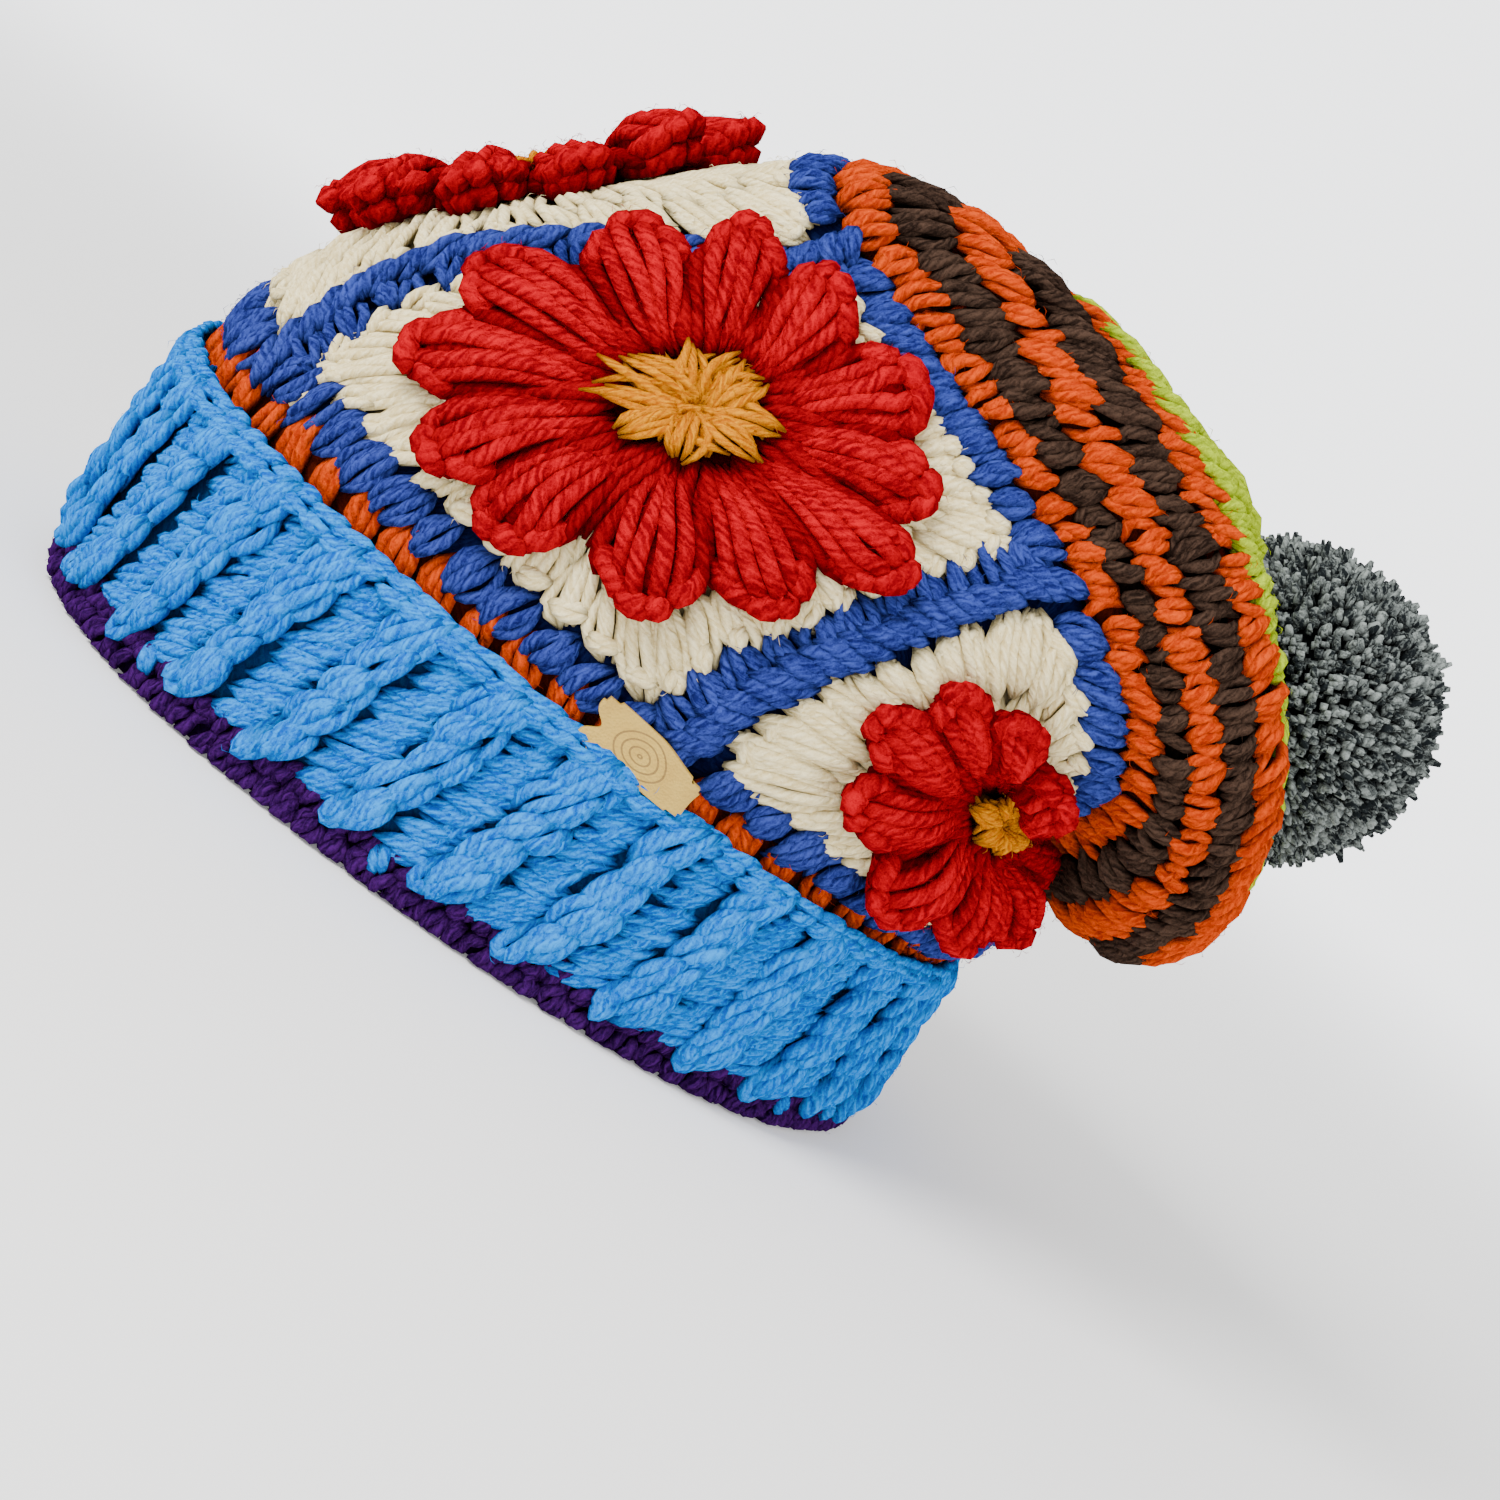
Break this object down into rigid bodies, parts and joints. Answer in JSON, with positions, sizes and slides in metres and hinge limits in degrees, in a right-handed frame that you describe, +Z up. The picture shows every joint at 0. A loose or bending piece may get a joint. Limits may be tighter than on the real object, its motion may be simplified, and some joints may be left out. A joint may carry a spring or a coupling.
{
  "type": "bobble hat",
  "caption": "Slouchy crocheted hat with a turned-up ribbed cuff, a ring of flower squares, striped rounds, a crown round and a pompom at the back.",
  "frame": {"origin": "middle of the hat's bounding box, on the surface that the rim rests on", "axes": "+Z up, -X to the wearer's front, +X to the back where the pompom is, -Y to the wearer's left"},
  "size_m": [0.2586, 0.176, 0.1616],
  "materials": {
    "azure_yarn": "chunky twisted azure yarn, matt with a soft fuzz",
    "purple_yarn": "chunky twisted dark purple yarn, matt",
    "orange_yarn": "chunky twisted orange yarn, matt",
    "brown_yarn": "chunky twisted dark brown yarn, matt",
    "blue_yarn": "chunky twisted royal blue yarn, matt",
    "cream_yarn": "chunky twisted cream yarn, matt",
    "red_yarn": "fine red yarn, matt",
    "ochre_yarn": "fine ochre yarn, matt",
    "lime_yarn": "chunky twisted lime green yarn, matt",
    "grey_yarn": "cut grey melange yarn, matt",
    "label_leather": "soft tan imitation leather with a blind pattern"
  },
  "bodies": {
    "root": {"cuff_outer": "azure_yarn", "cuff_fold": "purple_yarn", "base_round": "orange_yarn", "border_front": "blue_yarn", "ground_front": "cream_yarn", "petals_front": "red_yarn", "centre_front": "ochre_yarn", "border_left": "blue_yarn", "ground_left": "cream_yarn", "petals_left": "red_yarn", "centre_left": "ochre_yarn", "border_back_left": "blue_yarn", "ground_back_left": "cream_yarn", "petals_back_left": "red_yarn", "centre_back_left": "ochre_yarn", "border_back_right": "blue_yarn", "ground_back_right": "cream_yarn", "petals_back_right": "red_yarn", "centre_back_right": "ochre_yarn", "border_right": "blue_yarn", "ground_right": "cream_yarn", "petals_right": "red_yarn", "centre_right": "ochre_yarn", "stripe_orange_1": "orange_yarn", "stripe_brown_1": "brown_yarn", "stripe_orange_2": "orange_yarn", "stripe_brown_2": "brown_yarn", "stripe_orange_3": "orange_yarn", "crown": "lime_yarn", "pompom": "grey_yarn", "label": "label_leather"}
  },
  "joints": []
}
